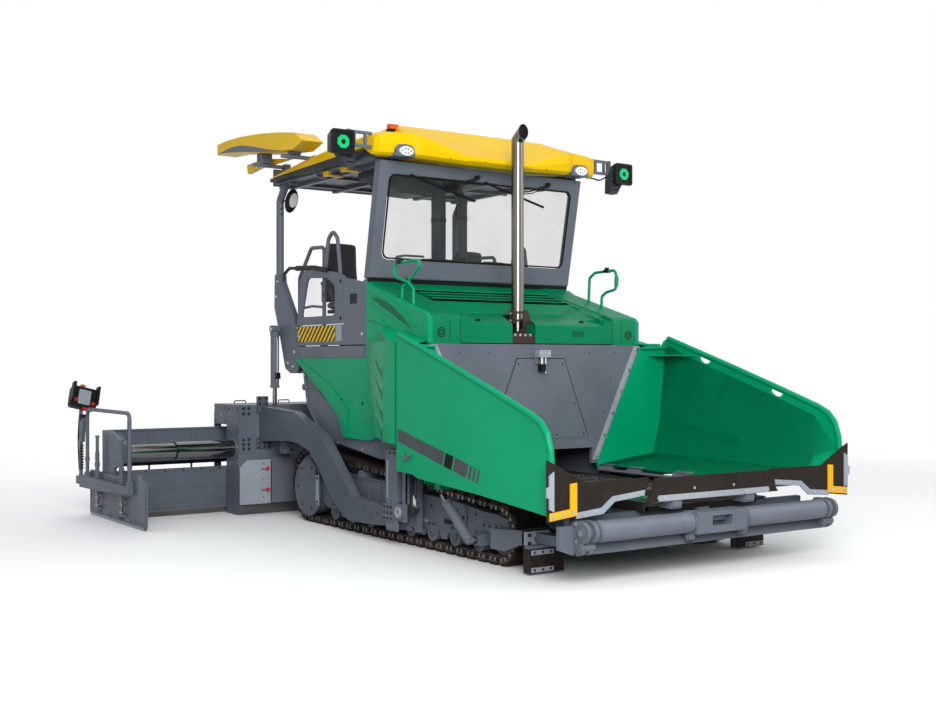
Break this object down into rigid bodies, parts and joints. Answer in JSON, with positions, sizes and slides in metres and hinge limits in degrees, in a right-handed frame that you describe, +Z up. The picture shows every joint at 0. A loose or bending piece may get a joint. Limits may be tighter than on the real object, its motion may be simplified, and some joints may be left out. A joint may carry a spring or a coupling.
{
  "type": "tracked asphalt paver",
  "caption": "Crawler road paver with folding hopper, roofed operator platform, augers and an extending screed on two tow arms.",
  "frame": {"origin": "middle of the overall box, on the ground", "axes": "+X the machine's left side, +Y rearwards to the screed, +Z up; the hopper faces -Y"},
  "size_m": [6.34, 7.2, 4.245],
  "materials": {
    "green": "gloss paint",
    "grey": "satin blue-grey paint",
    "yellow": "gloss paint",
    "dark": "worn steel",
    "steel": "stainless",
    "chrome": "polished rods",
    "track": "worn track steel",
    "rubber": "matt",
    "glass": "clear",
    "black_plastic": "matt",
    "seat": "black cloth",
    "light_grey": "satin paint"
  },
  "bodies": {
    "tractor": {"chassis": "grey", "engine": "dark", "conveyor": "dark", "hopper_rear_wall": "grey", "hood": "green", "exhaust_pipe": "steel", "platform": "grey", "operator_console": "grey", "seats": "seat", "windscreen_frame": "grey", "glazing": "glass", "handrails": "grey", "roof": "yellow", "work_lamps": "black_plastic", "front_apron": "rubber", "auger_carrier": "grey", "side_bodies": "grey", "side_covers": "green", "side_guards": "grey", "rear_posts": "grey", "track_left": "track", "track_right": "track", "crawler_frame_left": "grey", "crawler_frame_right": "grey", "awning_left": "yellow", "awning_right": "yellow"},
    "push_beam": {"push_beam": "grey"},
    "screed": {"tow_arms": "grey", "screed_main": "grey"},
    "lift_barrels": {"lift_barrels": "grey"},
    "lift_rods": {"lift_rods": "chrome"},
    "wing_left": {"hopper_wing_left": "green"},
    "wing_barrel_left": {"wing_barrel_left": "grey"},
    "wing_stage_left": {"wing_stage_left": "chrome"},
    "wing_rod_left": {"wing_rod_left": "chrome"},
    "push_roller_left": {"push_roller_left": "grey"},
    "auger_left": {"auger_left": "dark"},
    "limit_plate_left": {"limit_plate_left": "light_grey"},
    "extension_left": {"screed_extension_left": "grey", "end_plate_left": "grey"},
    "wing_right": {"hopper_wing_right": "green"},
    "wing_barrel_right": {"wing_barrel_right": "grey"},
    "wing_stage_right": {"wing_stage_right": "chrome"},
    "wing_rod_right": {"wing_rod_right": "chrome"},
    "push_roller_right": {"push_roller_right": "grey"},
    "auger_right": {"auger_right": "dark"},
    "limit_plate_right": {"limit_plate_right": "light_grey"},
    "extension_right": {"screed_extension_right": "grey", "end_plate_right": "grey"}
  },
  "joints": [
    {"name": "push_beam_pivot", "type": "hinge", "parent": "tractor", "child": "push_beam", "pos_m": [0, -3.335, 0.4], "axis": [0, 0, 1], "range_deg": [-2.5, 2.5]},
    {"name": "screed_lift", "type": "hinge", "parent": "tractor", "child": "screed", "pos_m": [0, -0.83, 0.26], "axis": [1, 0, 0], "range_deg": [0, 3.6]},
    {"name": "lift_swing", "type": "hinge", "parent": "tractor", "child": "lift_barrels", "pos_m": [0, 2, 2.08], "axis": [1, 0, 0], "range_deg": [-6.84, 1]},
    {"name": "lift_stroke", "type": "slide", "parent": "lift_barrels", "child": "lift_rods", "axis": [0, 0, 1], "range_m": [-0.01, 0.1823]},
    {"name": "wing_fold_left", "type": "hinge", "parent": "tractor", "child": "wing_left", "pos_m": [0.69, -2.3, 0.64], "axis": [0, -1, 0], "range_deg": [0, 52]},
    {"name": "wing_cylinder_swing_left", "type": "hinge", "parent": "tractor", "child": "wing_barrel_left", "pos_m": [1.43, -2.05, 0.2], "axis": [0.7818, -0.5365, 0.3177], "range_deg": [-0.5, 29.74]},
    {"name": "wing_cylinder_stage_left", "type": "slide", "parent": "wing_barrel_left", "child": "wing_stage_left", "axis": [0.1368, 0.6447, 0.7521], "range_m": [-0.002, 0.3056]},
    {"name": "wing_cylinder_rod_left", "type": "slide", "parent": "wing_stage_left", "child": "wing_rod_left", "axis": [0.1368, 0.6447, 0.7521], "range_m": [-0.002, 0.3056]},
    {"name": "push_roller_spin_left", "type": "hinge", "parent": "push_beam", "child": "push_roller_left", "pos_m": [0.8, -3.515, 0.43], "axis": [1, 0, 0], "continuous": true},
    {"name": "auger_spin_left", "type": "hinge", "parent": "tractor", "child": "auger_left", "pos_m": [0.5, 1.72, 0.37], "axis": [1, 0, 0], "continuous": true},
    {"name": "limit_plate_swing_left", "type": "hinge", "parent": "tractor", "child": "limit_plate_left", "pos_m": [1.36, 1.977, 0.375], "axis": [0, 0, -1], "range_deg": [0, 90]},
    {"name": "extension_slide_left", "type": "slide", "parent": "screed", "child": "extension_left", "axis": [-1, 0, 0], "range_m": [0, 1.24]},
    {"name": "wing_fold_right", "type": "hinge", "parent": "tractor", "child": "wing_right", "pos_m": [-0.69, -2.3, 0.64], "axis": [0, 1, 0], "range_deg": [0, 52]},
    {"name": "wing_cylinder_swing_right", "type": "hinge", "parent": "tractor", "child": "wing_barrel_right", "pos_m": [-1.43, -2.05, 0.2], "axis": [0.7818, 0.5365, -0.3177], "range_deg": [-0.5, 29.74]},
    {"name": "wing_cylinder_stage_right", "type": "slide", "parent": "wing_barrel_right", "child": "wing_stage_right", "axis": [-0.1368, 0.6447, 0.7521], "range_m": [-0.002, 0.3056]},
    {"name": "wing_cylinder_rod_right", "type": "slide", "parent": "wing_stage_right", "child": "wing_rod_right", "axis": [-0.1368, 0.6447, 0.7521], "range_m": [-0.002, 0.3056]},
    {"name": "push_roller_spin_right", "type": "hinge", "parent": "push_beam", "child": "push_roller_right", "pos_m": [-0.8, -3.515, 0.43], "axis": [1, 0, 0], "continuous": true},
    {"name": "auger_spin_right", "type": "hinge", "parent": "tractor", "child": "auger_right", "pos_m": [-0.5, 1.72, 0.37], "axis": [1, 0, 0], "continuous": true},
    {"name": "limit_plate_swing_right", "type": "hinge", "parent": "tractor", "child": "limit_plate_right", "pos_m": [-1.36, 1.977, 0.375], "axis": [0, 0, 1], "range_deg": [0, 90]},
    {"name": "extension_slide_right", "type": "slide", "parent": "screed", "child": "extension_right", "axis": [1, 0, 0], "range_m": [0, 1.24]}
  ],
  "couplings": [
    {"joint": "lift_swing", "follows": "screed_lift", "ratio": -1.6223},
    {"joint": "lift_stroke", "follows": "screed_lift", "m_per_rad": 2.7425},
    {"joint": "wing_cylinder_swing_left", "follows": "wing_fold_left", "ratio": 0.56238},
    {"joint": "wing_cylinder_stage_left", "follows": "wing_fold_left", "m_per_rad": 0.33121},
    {"joint": "wing_cylinder_rod_left", "follows": "wing_fold_left", "m_per_rad": 0.33121},
    {"joint": "wing_cylinder_swing_right", "follows": "wing_fold_right", "ratio": 0.56238},
    {"joint": "wing_cylinder_stage_right", "follows": "wing_fold_right", "m_per_rad": 0.33121},
    {"joint": "wing_cylinder_rod_right", "follows": "wing_fold_right", "m_per_rad": 0.33121}
  ]
}
